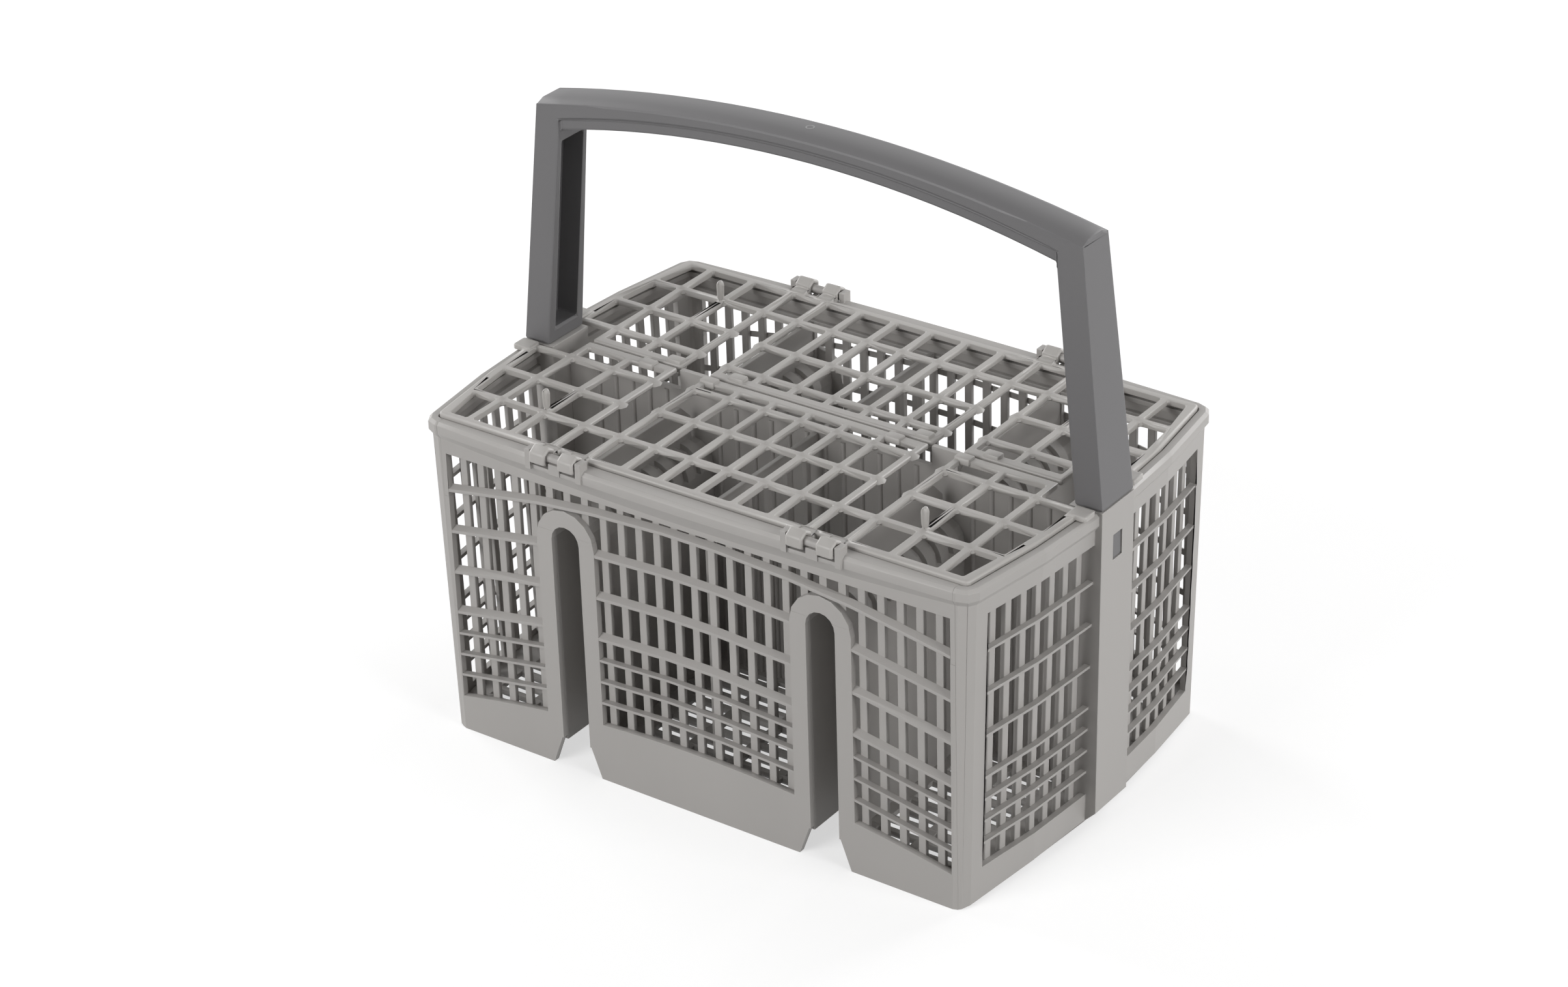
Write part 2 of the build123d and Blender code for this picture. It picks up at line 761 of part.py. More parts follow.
pieces = {
    "front_wall": front_wall,
    "rear_wall": rear_wall,
    "front_panels": front_panels,
    "rear_panels": rear_panels,
    "left_end": left_end,
    "right_end": right_end,
    "front_bars": front_bars,
    "rear_bars": rear_bars,
    "left_bars": left_bars,
    "right_bars": right_bars,
    "left_floor": left_floor,
    "middle_floor": middle_floor,
    "right_floor": right_floor,
    "left_tunnel": left_tunnel,
    "right_tunnel": right_tunnel,
    "centre_wall": centre_wall,
    "front_fence": front_fence,
    "rear_fence": rear_fence,
    "front_lid": front_lid,
    "rear_lid": rear_lid,
    "handle": handle,
}
os.makedirs("parts", exist_ok=True)
for name, piece in pieces.items():
    piece.part.label = name
    export_step(piece.part, f"parts/{name}.step")
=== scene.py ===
"""Looks of a dishwasher cutlery basket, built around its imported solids.

Everything is in metres in the frame of the solids: +X along the basket, +Y from front to rear and
+Z up. Only the tables of places on the lids and the floor are in millimetres, as they say.
"""
import logging
import math
from dataclasses import dataclass
from enum import Enum
from typing import Any

import bmesh
import bpy
from mathutils import Matrix, Vector

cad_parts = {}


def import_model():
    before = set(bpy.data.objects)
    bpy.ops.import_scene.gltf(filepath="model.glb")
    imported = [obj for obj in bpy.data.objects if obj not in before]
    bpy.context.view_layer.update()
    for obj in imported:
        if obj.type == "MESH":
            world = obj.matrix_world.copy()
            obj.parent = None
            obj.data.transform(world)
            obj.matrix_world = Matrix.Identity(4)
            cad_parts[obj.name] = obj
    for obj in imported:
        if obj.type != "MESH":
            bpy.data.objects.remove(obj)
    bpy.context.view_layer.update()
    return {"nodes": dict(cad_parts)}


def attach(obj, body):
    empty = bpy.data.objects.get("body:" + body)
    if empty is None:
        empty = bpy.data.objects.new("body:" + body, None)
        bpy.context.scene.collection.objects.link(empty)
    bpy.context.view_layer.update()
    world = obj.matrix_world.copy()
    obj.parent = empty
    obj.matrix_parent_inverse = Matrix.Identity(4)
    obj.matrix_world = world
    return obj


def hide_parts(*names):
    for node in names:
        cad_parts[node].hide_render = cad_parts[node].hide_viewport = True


LOG = logging.getLogger("cutlery_basket")
MM = 0.001
IMAGE_WIDTH = 2408
SENSOR_WIDTH = 36.0
WHITE = (1.0, 1.0, 1.0, 1.0)
BOTH_WAYS = (-1, 1)
# Corners that lie closer than this are one corner
SAME_POINT = 0.002 * MM
# Angles in degrees from which an edge is rounded, and from which it is shaded sharp, and the
# steps and profile of a rounded edge
ROUNDED_FROM = 32.0
SHARP_FROM = 40.0
ROUNDING_STEPS = 2
QUARTER_ROUND = 0.5
Point = tuple[float, float, float]


class Slot(Enum):
    """Material slots of the record."""

    BODY = "body"
    LID = "lid"
    HANDLE = "handle"


class Body(Enum):
    """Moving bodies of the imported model."""

    BASKET = "basket"
    FRONT_LID = "front_lid"
    REAR_LID = "rear_lid"


class Side(Enum):
    """Half of the basket that a lid covers, as the sign of its places along Y."""

    FRONT = -1
    REAR = 1


def linear(hex_colour: str) -> tuple[float, float, float, float]:
    """Turn an sRGB hex colour into linear values.

    Args:
        hex_colour: Six hex digits.

    Returns:
        Red, green, blue and alpha, linear.
    """
    values = [int(hex_colour[i:i + 2], 16) / 255 for i in (0, 2, 4)]
    # Straight toe, offset and power of the sRGB curve
    straight = [v / 12.92 if v <= 0.04045 else ((v + 0.055) / 1.055) ** 2.4 for v in values]
    return (*straight, 1.0)


def fill(tree: bpy.types.NodeTree, socket: bpy.types.NodeSocket, value: Any) -> None:
    """Link an output to an input socket, or set the input's own value.

    Args:
        tree: Tree that holds the socket.
        socket: Input to fill.
        value: Output socket or plain value.
    """
    if isinstance(value, bpy.types.NodeSocket):
        tree.links.new(value, socket)
    else:
        socket.default_value = value


def add_node(tree: bpy.types.NodeTree, kind: str, settings: dict[str, Any] | None = None,
             **inputs: Any) -> bpy.types.Node:
    """Add a node with its settings, values and links.

    Args:
        tree: Tree that takes the node.
        kind: Blender's name of the node type.
        settings: Properties of the node.
        inputs: Values or output sockets by input name, with underscores for spaces.

    Returns:
        The new node.
    """
    node = tree.nodes.new(kind)
    for name, value in (settings or {}).items():
        setattr(node, name, value)
    for name, value in inputs.items():
        label = name.replace("_", " ")
        fill(tree, next(s for s in node.inputs if s.name == label and s.enabled), value)
    return node


def add_in_order(tree: bpy.types.NodeTree, kind: str, values: list[Any],
                 settings: dict[str, Any] | None = None) -> bpy.types.NodeSocket:
    """Add a node whose inputs share a name, and fill them one after the other.

    Args:
        tree: Tree that takes the node.
        kind: Blender's name of the node type.
        values: Values or output sockets in the order of the inputs.
        settings: Properties of the node.

    Returns:
        The node's output.
    """
    node = add_node(tree, kind, settings)
    for socket, value in zip(node.inputs, values):
        fill(tree, socket, value)
    return node.outputs[0]


@dataclass(frozen=True)
class MouldedPlastic:
    """Moulded polypropylene: satin, a little cloudy from the melt, with a spark-eroded grain."""

    name: str
    colour: str
    cloud: str
    roughness: float
    cloud_size: float
    grain_size: float
    grain_height: float
    ior: float = 1.49
    cloud_upright: float = 0.35
    cloud_detail: float = 3.0
    grain_detail: float = 2.0
    grain_strength: float = 0.35
    roughness_spread: float = 0.05

    def material(self) -> bpy.types.Material:
        """Build the material.

        Returns:
            A material on Object coordinates.
        """
        made = bpy.data.materials.new(self.name)
        made.use_nodes = True
        tree = made.node_tree
        tree.nodes.clear()
        place = add_node(tree, "ShaderNodeTexCoord").outputs["Object"]
        # The melt leaves faint clouds, a few centimetres wide and drawn out along the wall
        drawn = add_node(
            tree, "ShaderNodeMapping", Vector=place, Scale=(1.0, 1.0, self.cloud_upright)
        )
        clouds = add_node(
            tree, "ShaderNodeTexNoise", Vector=drawn.outputs["Vector"],
            Scale=1 / self.cloud_size, Detail=self.cloud_detail,
        ).outputs["Fac"]
        tint = add_node(
            tree, "ShaderNodeMix", {"data_type": "RGBA"},
            Factor=clouds, A=linear(self.colour), B=linear(self.cloud),
        )
        # Grain is drawn coarser than the real one of about 0.05 mm, so that it shows in the render
        grain = add_node(
            tree, "ShaderNodeTexNoise", Vector=place,
            Scale=1 / self.grain_size, Detail=self.grain_detail,
        )
        bump = add_node(
            tree, "ShaderNodeBump", Strength=self.grain_strength,
            Distance=self.grain_height, Height=grain.outputs["Fac"],
        )
        sheen = add_node(
            tree, "ShaderNodeMapRange", Value=clouds,
            To_Min=self.roughness - self.roughness_spread,
            To_Max=self.roughness + self.roughness_spread,
        )
        shader = add_node(
            tree, "ShaderNodeBsdfPrincipled",
            Base_Color=next(socket for socket in tint.outputs if socket.enabled),
            Roughness=sheen.outputs["Result"], IOR=self.ior, Normal=bump.outputs["Normal"],
        )
        add_node(tree, "ShaderNodeOutputMaterial", Surface=shader.outputs["BSDF"])
        return made


BASKET_PLASTIC = MouldedPlastic(
    "moulded_polypropylene_basket", "A3A09D", "ABA8A5", 0.46, 45 * MM, 0.7 * MM, 0.02 * MM
)
LID_PLASTIC = MouldedPlastic(
    "moulded_polypropylene_lid", "A7A4A0", "AFACA9", 0.44, 38 * MM, 0.7 * MM, 0.02 * MM
)
GATE_PLASTIC = MouldedPlastic(
    "whitened_polypropylene_gate", "8C8C8C", "9A9A9A", 0.5, 3 * MM, 0.3 * MM, 0.02 * MM
)
HANDLE_PLASTIC = MouldedPlastic(
    "textured_polypropylene_handle", "646364", "6C6B6C", 0.5, 50 * MM, 0.6 * MM, 0.03 * MM
)


def soften(mesh: bpy.types.Mesh) -> None:
    """Shade a mesh smooth apart from its sharp edges."""
    mesh.shade_smooth()
    mesh.set_sharp_from_angle(angle=math.radians(SHARP_FROM))


def round_edges(piece: bpy.types.Object, radius: float, clamped: bool = False) -> None:
    """Round the edges of a piece, as a mould leaves them.

    Args:
        piece: Piece to finish.
        radius: Radius of the edges.
        clamped: Whether the radius shrinks where edges are crowded.
    """
    soft = piece.modifiers.new("soft_edges", "BEVEL")
    soft.width = radius
    soft.segments = ROUNDING_STEPS
    soft.limit_method = "ANGLE"
    soft.angle_limit = math.radians(ROUNDED_FROM)
    soft.use_clamp_overlap = clamped


def from_bmesh(name: str, shape: bmesh.types.BMesh,
               finish: bpy.types.Material) -> bpy.types.Object:
    """Turn a bmesh into a linked piece with its finish.

    Args:
        name: Name of the piece.
        shape: Closed shape; it is freed.
        finish: Material of the piece.

    Returns:
        The piece, at the origin.
    """
    bmesh.ops.recalc_face_normals(shape, faces=shape.faces)
    mesh = bpy.data.meshes.new(name)
    shape.to_mesh(mesh)
    shape.free()
    soften(mesh)
    mesh.materials.append(finish)
    piece = bpy.data.objects.new(name, mesh)
    bpy.context.scene.collection.objects.link(piece)
    return piece


def rounded_block(shape: bmesh.types.BMesh, low: Point, high: Point, edge: float,
                  crown: float) -> None:
    """Add a block with rounded edges and a crowned top.

    Args:
        shape: Mesh that takes the block.
        low: Lowest corner.
        high: Highest corner.
        edge: Radius of the edges.
        crown: How far the top's long edges are drawn in.
    """
    size = Vector(high) - Vector(low)
    middle = (Vector(high) + Vector(low)) / 2
    place = Matrix.Translation(middle) @ Matrix.Diagonal((*size, 1.0))
    made = bmesh.ops.create_cube(shape, size=1.0, matrix=place)
    for vertex in made["verts"]:
        if vertex.co.z > middle.z:
            vertex.co.y += crown if vertex.co.y < middle.y else -crown
    bmesh.ops.bevel(
        shape, geom=list({e for v in made["verts"] for e in v.link_edges}), offset=edge,
        segments=ROUNDING_STEPS, profile=QUARTER_ROUND, affect="EDGES", clamp_overlap=True,
    )


class TreeKit:
    """A geometry tree under construction, with named inputs, that repeats a shape on points."""

    def __init__(self, name: str, sizes: dict[str, float]) -> None:
        """Start the tree.

        Args:
            name: Name of the tree and of the piece that it makes.
            sizes: Names and values of the sizes that it takes.
        """
        self.name = name
        self.sizes = sizes
        self.tree = bpy.data.node_groups.new(name, "GeometryNodeTree")
        face = self.tree.interface
        face.new_socket("Geometry", in_out="INPUT", socket_type="NodeSocketGeometry")
        for label in sizes:
            face.new_socket(label, in_out="INPUT", socket_type="NodeSocketFloat")
        face.new_socket("Geometry", in_out="OUTPUT", socket_type="NodeSocketGeometry")
        self.given = self.tree.nodes.new("NodeGroupInput").outputs

    def add(self, kind: str, output: str, **inputs: Any) -> bpy.types.NodeSocket:
        """Add a node to the tree and return the output of that name."""
        return add_node(self.tree, kind, **inputs).outputs[output]

    def make(self, shape: bpy.types.NodeSocket, finish: bpy.types.Material,
             places: list[Point]) -> bpy.types.Object:
        """Set the shape on each place, end the tree and turn its result into a plain mesh.

        Args:
            shape: Geometry to repeat.
            finish: Material of the piece.
            places: Points that the tree takes as its geometry.

        Returns:
            The piece, at the origin.
        """
        points = self.add("GeometryNodeMeshToPoints", "Points", Mesh=self.given["Geometry"])
        set_out = self.add(
            "GeometryNodeInstanceOnPoints", "Instances", Points=points, Instance=shape
        )
        solid = self.add("GeometryNodeRealizeInstances", "Geometry", Geometry=set_out)
        dressed = self.add("GeometryNodeSetMaterial", "Geometry", Geometry=solid, Material=finish)
        add_node(self.tree, "NodeGroupOutput", Geometry=dressed)
        start = bpy.data.meshes.new(f"{self.name}_places")
        start.from_pydata([Vector(place) for place in places], [], [])
        piece = bpy.data.objects.new(self.name, start)
        bpy.context.scene.collection.objects.link(piece)
        maker = piece.modifiers.new("maker", "NODES")
        maker.node_group = self.tree
        for item in self.tree.interface.items_tree:
            if item.in_out == "INPUT" and item.name in self.sizes:
                maker[item.identifier] = self.sizes[item.name]
        bpy.context.view_layer.update()
        shown = piece.evaluated_get(bpy.context.evaluated_depsgraph_get())
        mesh = bpy.data.meshes.new_from_object(shown)
        piece.modifiers.remove(maker)
        piece.data = mesh
        soften(mesh)
        return piece


@dataclass
class Mouldings:
    """The solids as they come from the frame, with a moulding's finish and soft edges."""

    lid_edge: float = 1.2 * MM
    handle_edge: float = 0.9 * MM
    wall_edge: float = 0.15 * MM
    bar_edge: float = 0.3 * MM

    def kind(self, name: str) -> tuple[Slot, float]:
        """Tell the slot and the edge radius of a solid from its name.

        Args:
            name: Name of the solid.

        Returns:
            Slot and radius.
        """
        if name.endswith("_lid"):
            return Slot.LID, self.lid_edge
        if name == "handle":
            return Slot.HANDLE, self.handle_edge
        if name.endswith(("_wall", "_end", "_panels")):
            return Slot.BODY, self.wall_edge
        return Slot.BODY, self.bar_edge

    def dress(self, nodes: dict[str, bpy.types.Object],
              finishes: dict[Slot, bpy.types.Material]) -> None:
        """Give each solid its material and its soft edges.

        Args:
            nodes: Solids by name.
            finishes: Materials by slot.
        """
        for name, node in nodes.items():
            slot, edge = self.kind(name)
            node.data.materials.clear()
            node.data.materials.append(finishes[slot])
            weld = node.modifiers.new("weld", "WELD")
            weld.merge_threshold = SAME_POINT
            # A full radius on the crowded edges of the panels would reach below their feet
            round_edges(node, edge, clamped=name.endswith("_panels"))
            LOG.info("dressed %s", name)


@dataclass
class LidBars:
    """One lid with slim round bars, drawn from its solid, whose bars are wider and deeper."""

    side: Side
    body: Body
    low: float = 128.0 * MM
    tab_top: float = 133.0 * MM
    edge_bar: float = 73.6 * MM
    end_bar: float = 110.0 * MM
    meeting_edge: float = 0.9 * MM
    inset: float = 0.55 * MM
    lift: float = 1.7 * MM
    rounding: float = 0.75 * MM
    reach: float = 0.1 * MM
    most_lean: float = 0.2
    least_outward: float = 0.7
    same_way: float = 0.95
    peg_x: float = 82.7 * MM
    peg_y: float = 53.8 * MM
    peg_foot: float = 131.95 * MM
    peg_half: float = 2.0 * MM
    peg_share: float = 0.7

    def bounds_cell(self, face: bmesh.types.BMFace) -> bool:
        """Tell whether a face is an upright side of a bar that looks into a cell or a notch.

        Args:
            face: Face of the lid.

        Returns:
            Whether it is drawn in.
        """
        heights = [v.co.z for v in face.verts]
        too_low = min(heights) < self.low - self.reach
        too_high = max(heights) > self.tab_top + self.reach
        if abs(face.normal.z) > self.most_lean or too_low or too_high:
            return False
        middle = face.calc_center_median()
        faces_end = face.normal.x * middle.x > 0 and abs(face.normal.x) > self.least_outward
        outward = abs(middle.x) > self.end_bar and faces_end
        return self.meeting_edge < self.side.value * middle.y < self.edge_bar and not outward

    def cell_sides(self, shape: bmesh.types.BMesh) -> dict[bmesh.types.BMVert, list[Vector]]:
        """Find the corners that are drawn in, and which ways the sides there look.

        Args:
            shape: Merged mesh of the lid.

        Returns:
            Directions by corner, each way once.
        """
        sides: dict[bmesh.types.BMVert, list[Vector]] = {}
        for face in filter(self.bounds_cell, shape.faces):
            for vertex in face.verts:
                known = sides.setdefault(vertex, [])
                if all(face.normal.dot(other) < self.same_way for other in known):
                    known.append(face.normal.copy())
        return sides

    def slim(self, shape: bmesh.types.BMesh) -> None:
        """Lift the undersides of the bars and draw their sides in.

        Args:
            shape: Merged mesh of the lid.
        """
        sides = self.cell_sides(shape)
        for vertex in shape.verts:
            at_foot = vertex.co.z < self.low + self.reach
            if at_foot and (vertex in sides or abs(vertex.co.y) < self.meeting_edge):
                vertex.co.z += self.lift
        for vertex, normals in sides.items():
            for normal in normals:
                vertex.co -= self.inset * Vector((normal.x, normal.y, 0.0))

    def thin_pegs(self, shape: bmesh.types.BMesh) -> None:
        """Draw the sides of the pegs in towards their middles.

        Args:
            shape: Merged mesh of the lid.
        """
        for turn in BOTH_WAYS:
            middle = Vector((turn * self.peg_x, self.side.value * self.peg_y, 0.0))
            for vertex in shape.verts:
                across = (vertex.co - middle) * Vector((1.0, 1.0, 0.0))
                near = max(abs(across.x), abs(across.y)) < self.peg_half
                if near and vertex.co.z > self.peg_foot:
                    vertex.co -= (1 - self.peg_share) * across

    def build(self, node: bpy.types.Object, finish: bpy.types.Material) -> bpy.types.Object:
        """Make the lid and let it stand for its solid.

        Args:
            node: Solid of the lid.
            finish: Material of the lid.

        Returns:
            The lid, riding on its body.
        """
        shape = bmesh.new()
        shape.from_mesh(node.data)
        bmesh.ops.remove_doubles(shape, verts=shape.verts, dist=SAME_POINT)
        shape.normal_update()
        self.slim(shape)
        self.thin_pegs(shape)
        piece = from_bmesh(f"{self.body.value}_bars", shape, finish)
        round_edges(piece, self.rounding)
        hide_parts(node.name)
        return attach(piece, self.body.value)


@dataclass(frozen=True)
class ClipRow:
    """Where the clips of one lid stand along the meeting edge, in millimetres."""

    middles: tuple[float, ...]
    foot: float
    top: float


# The rear lid has sleeves and the front lid low tabs beside them
CLIP_ROWS = {
    Side.REAR: ClipRow((-66.4, -37.9, 44.6, 73.8), 128.6, 133.4),
    Side.FRONT: ClipRow((-74.2, -46.0, 36.3, 66.0), 130.2, 133.0),
}


@dataclass
class LidGrid:
    """What stands on one lid's grid: a low peak on each crossing and the clips where lids meet.

    The columns, the rows and the reach of the clips are in millimetres.
    """

    side: Side
    body: Body
    top: float = 132.0 * MM
    columns: tuple[float, ...] = (0.0, 16.0, 32.0, 48.0)
    outer_columns: tuple[float, ...] = (64.0, 82.7, 102.4)
    middle_rows: tuple[float, ...] = (55.4, 31.9, 10.6)
    outer_rows: tuple[float, ...] = (55.4, 34.6, 13.9)
    peak_sides: int = 8
    peak_width: float = 3.3 * MM
    peak_height: float = 2.4 * MM
    peak_sink: float = 1.35 * MM
    clip_half: float = 3.3
    clip_near: float = 0.9
    clip_far: float = 5.9
    clip_edge: float = 0.7 * MM
    clip_crown: float = 0.4 * MM

    def crossings(self) -> list[Point]:
        """List the places of the grid's crossings.

        Returns:
            Places of the peaks' feet, a little below the bars' tops.
        """
        pairs = [(x, y) for x in self.columns for y in self.middle_rows]
        pairs += [(x, y) for x in self.outer_columns for y in self.outer_rows]
        both = {(turn * x, self.side.value * y) for x, y in pairs for turn in BOTH_WAYS}
        return [(x * MM, y * MM, self.top - self.peak_sink) for x, y in sorted(both)]

    def peaks(self, finish: bpy.types.Material) -> bpy.types.Object:
        """Make the low peaks where the crowns of two bars meet.

        Args:
            finish: Material of the lid.

        Returns:
            The peaks as one piece.
        """
        sizes = {"Width": self.peak_width, "Height": self.peak_height}
        kit = TreeKit(f"{self.body.value}_peaks", sizes)
        cone = kit.add(
            "GeometryNodeMeshCone", "Mesh", Vertices=self.peak_sides,
            Radius_Bottom=kit.given["Width"], Depth=kit.given["Height"],
        )
        return kit.make(cone, finish, self.crossings())

    def clips(self, finish: bpy.types.Material) -> bpy.types.Object:
        """Make the clips that keep the two lids level where they meet.

        Args:
            finish: Material of the lid.

        Returns:
            The clips as one piece.
        """
        shape = bmesh.new()
        row = CLIP_ROWS[self.side]
        front, rear = sorted(self.side.value * y for y in (self.clip_near, self.clip_far))
        for middle in row.middles:
            low = (middle - self.clip_half, front, row.foot)
            high = (middle + self.clip_half, rear, row.top)
            ends = [tuple(v * MM for v in corner) for corner in (low, high)]
            rounded_block(shape, *ends, self.clip_edge, self.clip_crown)
        return from_bmesh(f"{self.body.value}_clips", shape, finish)

    def build(self, finish: bpy.types.Material) -> list[bpy.types.Object]:
        """Make the pieces and let them ride on the lid.

        Args:
            finish: Material of the lid.

        Returns:
            The pieces.
        """
        pieces = [self.peaks(finish), self.clips(finish)]
        for piece in pieces:
            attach(piece, self.body.value)
        return pieces


@dataclass
class Inside:
    """What shows through the lids: rings over the tunnels, ribs on the centre wall, floor rods.

    The runs of the rods, each a middle and a length, are in millimetres.
    """

    tunnel_x: float = 56.0 * MM
    arch_height: float = 96.7 * MM
    ring_radius: float = 9.3 * MM
    ring_thickness: float = 2.2 * MM
    ring_width: float = 4.4 * MM
    ring_pitch: float = 8.0 * MM
    ring_count: int = 8
    ring_start: float = 9.0 * MM
    ring_points: int = 15
    rib_sides: int = 10
    rib_radius: float = 1.0 * MM
    rib_offset: float = 1.0 * MM
    rib_pitch: float = 8.0 * MM
    rib_count: int = 26
    rib_foot: float = 12.0 * MM
    rib_top: float = 122.0 * MM
    tunnel_clearance: float = 11.0 * MM
    rod_sides: int = 8
    rod_radius: float = 1.6 * MM
    rod_pitch: float = 7.0 * MM
    rod_count: int = 10
    rod_start: float = 8.0 * MM
    rod_runs: tuple[tuple[float, float], ...] = ((-86.0, 44.0), (0.0, 95.0), (86.0, 44.0))
    floor_height: float = 10.6 * MM

    def rings(self, finish: bpy.types.Material) -> bpy.types.Object:
        """Make the half rings that stiffen the crown of each tunnel.

        Args:
            finish: Material of the basket.

        Returns:
            The rings as one piece.
        """
        kit = TreeKit("tunnel_rings", {
            "Radius": self.ring_radius,
            "Thickness": self.ring_thickness,
            "Width": self.ring_width,
        })
        arc = kit.add(
            "GeometryNodeCurveArc", "Curve", Resolution=self.ring_points,
            Radius=kit.given["Radius"], Start_Angle=0.0, Sweep_Angle=math.pi,
        )
        band = kit.add(
            "GeometryNodeCurvePrimitiveQuadrilateral", "Curve",
            Width=kit.given["Thickness"], Height=kit.given["Width"],
        )
        ring = kit.add(
            "GeometryNodeCurveToMesh", "Mesh", Curve=arc, Profile_Curve=band, Fill_Caps=True
        )
        stood = kit.add(
            "GeometryNodeTransform", "Geometry", Geometry=ring, Rotation=(math.pi / 2, 0.0, 0.0)
        )
        depths = [self.ring_start + self.ring_pitch * i for i in range(self.ring_count)]
        places = [
            (hand * self.tunnel_x, turn * y, self.arch_height)
            for hand in BOTH_WAYS for turn in BOTH_WAYS for y in depths
        ]
        return kit.make(stood, finish, places)

    def ribs(self, finish: bpy.types.Material) -> bpy.types.Object:
        """Make the upright half-round ribs on both faces of the centre wall.

        Args:
            finish: Material of the basket.

        Returns:
            The ribs as one piece.
        """
        sizes = {"Radius": self.rib_radius, "Height": self.rib_top - self.rib_foot}
        kit = TreeKit("centre_wall_ribs", sizes)
        rod = kit.add(
            "GeometryNodeMeshCylinder", "Mesh", Vertices=self.rib_sides,
            Radius=kit.given["Radius"], Depth=kit.given["Height"],
        )
        middle = (self.rib_foot + self.rib_top) / 2
        first = -(self.rib_count - 1) / 2
        columns = [self.rib_pitch * (first + i) for i in range(self.rib_count)]
        clear = [x for x in columns if abs(abs(x) - self.tunnel_x) > self.tunnel_clearance]
        places = [(x, turn * self.rib_offset, middle) for x in clear for turn in BOTH_WAYS]
        return kit.make(rod, finish, places)

    def floor_rods(self, finish: bpy.types.Material) -> bpy.types.Object:
        """Make the thin rods that cross the slots of the floor.

        Args:
            finish: Material of the basket.

        Returns:
            The rods as one piece.
        """
        kit = TreeKit("floor_rods", {"Radius": self.rod_radius})
        rods: list[bpy.types.NodeSocket] = []
        for middle, length in self.rod_runs:
            rod = kit.add(
                "GeometryNodeMeshCylinder", "Mesh", Vertices=self.rod_sides,
                Radius=kit.given["Radius"], Depth=length * MM,
            )
            rods.append(kit.add(
                "GeometryNodeTransform", "Geometry", Geometry=rod,
                Rotation=(0.0, math.pi / 2, 0.0), Translation=(middle * MM, 0.0, 0.0),
            ))
        row = add_node(kit.tree, "GeometryNodeJoinGeometry")
        for rod in rods:
            kit.tree.links.new(rod, row.inputs["Geometry"])
        depths = [self.rod_start + self.rod_pitch * i for i in range(self.rod_count)]
        places = [(0.0, turn * y, self.floor_height) for turn in BOTH_WAYS for y in depths]
        return kit.make(row.outputs["Geometry"], finish, places)

    def build(self, finish: bpy.types.Material) -> list[bpy.types.Object]:
        """Make the pieces and let them ride on the basket.

        Args:
            finish: Material of the basket.

        Returns:
            The pieces.
        """
        pieces = [self.rings(finish), self.ribs(finish), self.floor_rods(finish)]
        for piece in pieces:
            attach(piece, Body.BASKET.value)
        return pieces


@dataclass
class GateMark:
    """Small round mark on the grip's crown where the melt came in.

    The profile runs from the middle outwards and back below, in shares of the radius and the rise.
    """

    height: float = 242.5 * MM
    radius: float = 1.8 * MM
    rise: float = 0.3 * MM
    sides: int = 20
    profile: tuple[tuple[float, float], ...] = (
        (0.0, 0.2), (0.55, 0.25), (0.75, 1.0), (0.95, 0.9), (1.0, -2.0), (0.0, -2.0),
    )

    def build(self, finish: bpy.types.Material) -> bpy.types.Object:
        """Make the mark as a low dished disc and let it ride on the basket.

        Args:
            finish: Material of the mark.

        Returns:
            The mark.
        """
        shape = bmesh.new()
        rim = [
            shape.verts.new((self.radius * out, 0.0, self.height + self.rise * up))
            for out, up in self.profile
        ]
        edges = [shape.edges.new(pair) for pair in zip(rim[:-1], rim[1:])]
        bmesh.ops.spin(
            shape, geom=rim + edges, cent=(0, 0, 0), axis=(0, 0, 1),
            angle=2 * math.pi, steps=self.sides,
        )
        bmesh.ops.remove_doubles(shape, verts=shape.verts, dist=SAME_POINT)
        piece = from_bmesh("grip_gate_mark", shape, finish)
        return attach(piece, Body.BASKET.value)


@dataclass(frozen=True)
class Lamp:
    """A soft square lamp: its place, the side of the square and its watts."""

    name: str
    place: Point
    size: float
    power: float

    def hang(self, aim: Point) -> None:
        """Hang the lamp.

        Args:
            aim: Point that it faces.
        """
        data = bpy.data.lights.new(self.name, "AREA")
        data.size = self.size
        data.energy = self.power
        lamp = bpy.data.objects.new(self.name, data)
        lamp.location = self.place
        ahead = Vector(aim) - Vector(self.place)
        lamp.rotation_euler = ahead.to_track_quat("-Z", "Y").to_euler()
        bpy.context.scene.collection.objects.link(lamp)


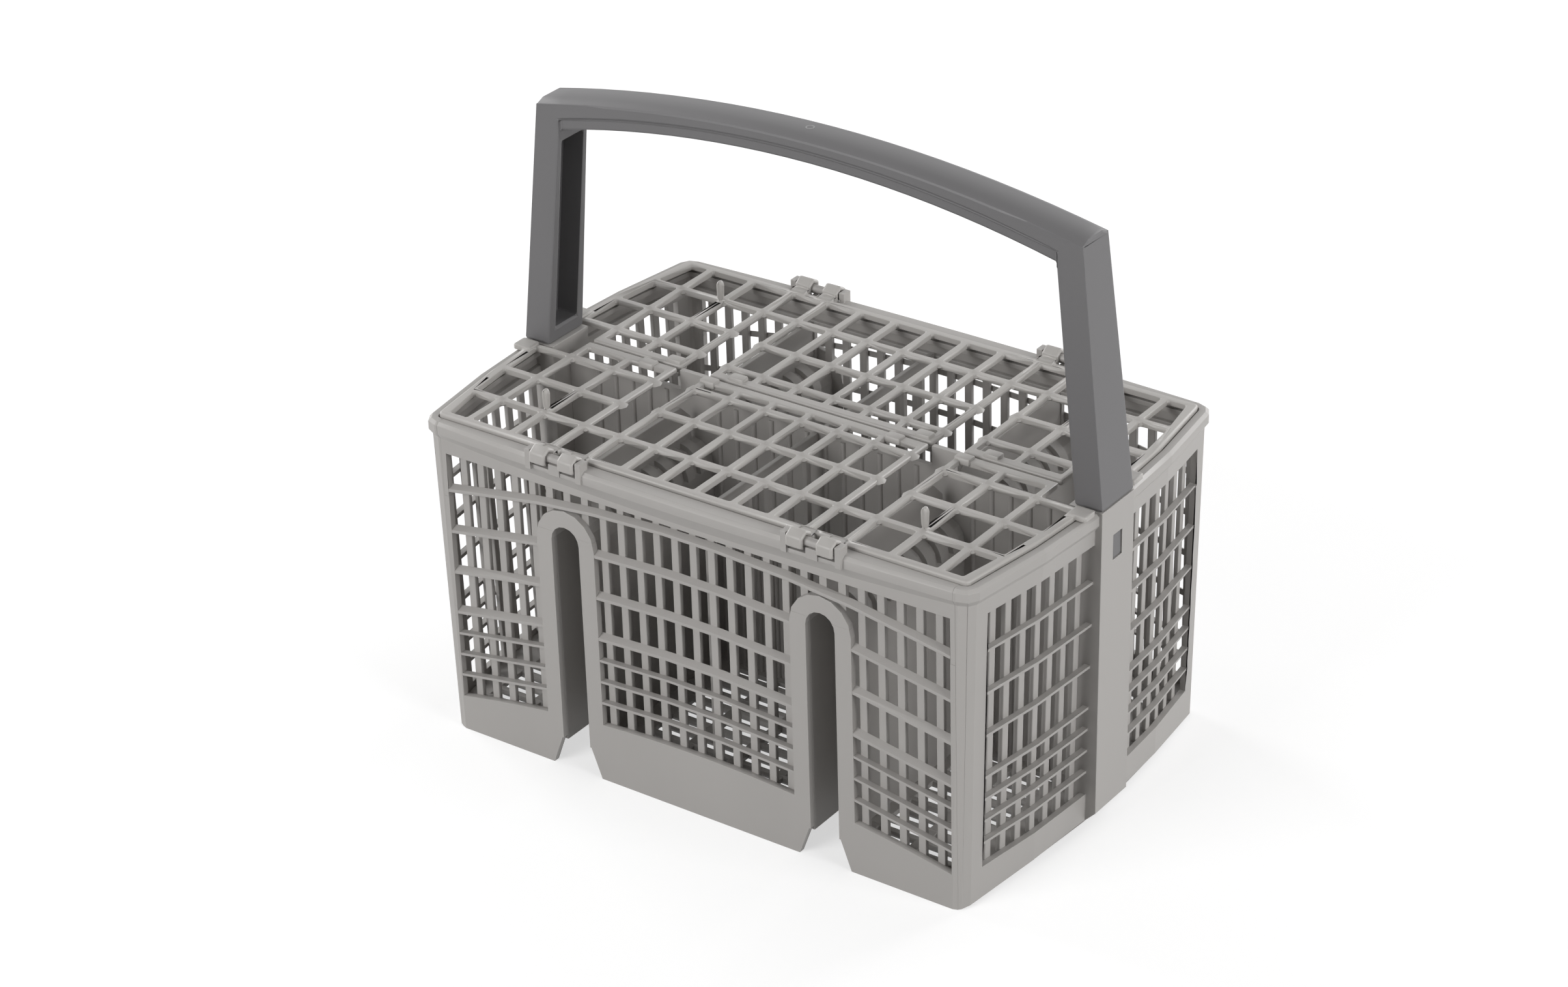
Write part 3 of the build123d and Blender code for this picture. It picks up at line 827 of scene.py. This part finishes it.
@dataclass
class Studio:
    """Pale floor, soft light and the camera at the photograph's angle."""

    camera_place: Point = (0.743755, -1.039517, 0.792123)
    right: Point = (0.8153807, 0.5783309, -0.0262226)
    down: Point = (0.2576427, -0.4030642, -0.8781569)
    ahead: Point = (-0.5184346, 0.7092762, -0.4776535)
    focal_pixels: float = 6079.81
    nearest: float = 0.01
    farthest: float = 100.0
    floor_colour: str = "B4B4B4"
    floor_roughness: float = 0.9
    floor_reach: float = 30.0
    floor_lift: float = 0.6
    world_light: float = 0.11
    world_shown: float = 1.0
    aim: Point = (0.0, 0.0, 0.1)
    lamps: tuple[Lamp, ...] = (
        Lamp("front", (-0.5, -1.6, 0.85), 1.0, 20.5),
        Lamp("right", (1.8, -0.1, 0.75), 1.0, 22.5),
        Lamp("left", (-1.8, 0.2, 0.75), 1.0, 20.0),
        Lamp("rear", (0.4, 1.8, 0.75), 1.0, 19.0),
        Lamp("sheen", (-0.9, 1.3, 1.1), 1.2, 2.0),
    )

    def camera(self) -> None:
        """Set up the camera."""
        data = bpy.data.cameras.new("camera")
        data.sensor_width = SENSOR_WIDTH
        data.sensor_fit = "HORIZONTAL"
        data.lens = self.focal_pixels / IMAGE_WIDTH * SENSOR_WIDTH
        data.clip_start, data.clip_end = self.nearest, self.farthest
        camera = bpy.data.objects.new("camera", data)
        bpy.context.scene.collection.objects.link(camera)
        axes = Matrix((Vector(self.right), -Vector(self.down), -Vector(self.ahead))).transposed()
        camera.matrix_world = Matrix.Translation(self.camera_place) @ axes.to_4x4()
        bpy.context.scene.camera = camera

    def seen(self, tree: bpy.types.NodeTree) -> bpy.types.NodeSocket:
        """Give one for rays that show the background: direct, in a gloss or through a clear thing.

        Args:
            tree: Tree of the material or world that asks.

        Returns:
            Socket with one or zero.
        """
        ray = add_node(tree, "ShaderNodeLightPath").outputs
        larger = {"operation": "MAXIMUM"}
        either = ray["Is Camera Ray"]
        for other in ("Is Glossy Ray", "Is Transmission Ray"):
            either = add_in_order(tree, "ShaderNodeMath", [either, ray[other]], larger)
        return either

    def paper(self) -> bpy.types.Material:
        """Build the floor's material, which shows white away from the object's shadow.

        Returns:
            The material.
        """
        paint = bpy.data.materials.new("matte_white_paper")
        paint.use_nodes = True
        tree = paint.node_tree
        tree.nodes.clear()
        matte = add_node(
            tree, "ShaderNodeBsdfPrincipled",
            Base_Color=linear(self.floor_colour), Roughness=self.floor_roughness,
        ).outputs["BSDF"]
        share = [self.seen(tree), self.floor_lift]
        lift = add_in_order(tree, "ShaderNodeMath", share, {"operation": "MULTIPLY"})
        glow = add_node(tree, "ShaderNodeEmission", Color=WHITE, Strength=lift).outputs["Emission"]
        both = add_in_order(tree, "ShaderNodeAddShader", [matte, glow])
        add_node(tree, "ShaderNodeOutputMaterial", Surface=both)
        return paint

    def floor(self) -> None:
        """Lay the pale floor."""
        shape = bmesh.new()
        bmesh.ops.create_grid(shape, x_segments=1, y_segments=1, size=self.floor_reach)
        mesh = bpy.data.meshes.new("floor")
        shape.to_mesh(mesh)
        shape.free()
        mesh.materials.append(self.paper())
        floor = bpy.data.objects.new("floor", mesh)
        bpy.context.scene.collection.objects.link(floor)

    def light(self) -> None:
        """Set up the world, which lights softly and shows white, and the lamps."""
        world = bpy.data.worlds.new("studio")
        world.use_nodes = True
        tree = world.node_tree
        tree.nodes.clear()
        soft, white = (
            add_node(tree, "ShaderNodeBackground", Color=WHITE, Strength=strength).outputs[0]
            for strength in (self.world_light, self.world_shown)
        )
        mix = add_in_order(tree, "ShaderNodeMixShader", [self.seen(tree), soft, white])
        add_node(tree, "ShaderNodeOutputWorld", Surface=mix)
        bpy.context.scene.world = world
        for lamp in self.lamps:
            lamp.hang(self.aim)
        bpy.context.scene.view_settings.view_transform = "Standard"

    def build(self) -> None:
        """Set up everything."""
        self.camera()
        self.floor()
        self.light()


def main() -> None:
    """Build the looks in order."""
    logging.basicConfig(level=logging.INFO, format="%(name)s: %(message)s")
    bpy.ops.wm.read_factory_settings(use_empty=True)
    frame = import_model()
    finishes = {
        Slot.BODY: BASKET_PLASTIC.material(),
        Slot.LID: LID_PLASTIC.material(),
        Slot.HANDLE: HANDLE_PLASTIC.material(),
    }
    Mouldings().dress(frame["nodes"], finishes)
    made = Inside().build(finishes[Slot.BODY])
    for side, body in ((Side.FRONT, Body.FRONT_LID), (Side.REAR, Body.REAR_LID)):
        made.append(LidBars(side, body).build(frame["nodes"][body.value], finishes[Slot.LID]))
        made += LidGrid(side, body).build(finishes[Slot.LID])
    made.append(GateMark().build(GATE_PLASTIC.material()))
    for piece in made:
        LOG.info("made %s with %d faces", piece.name, len(piece.data.polygons))
    Studio().build()


if __name__ == "__main__":
    main()
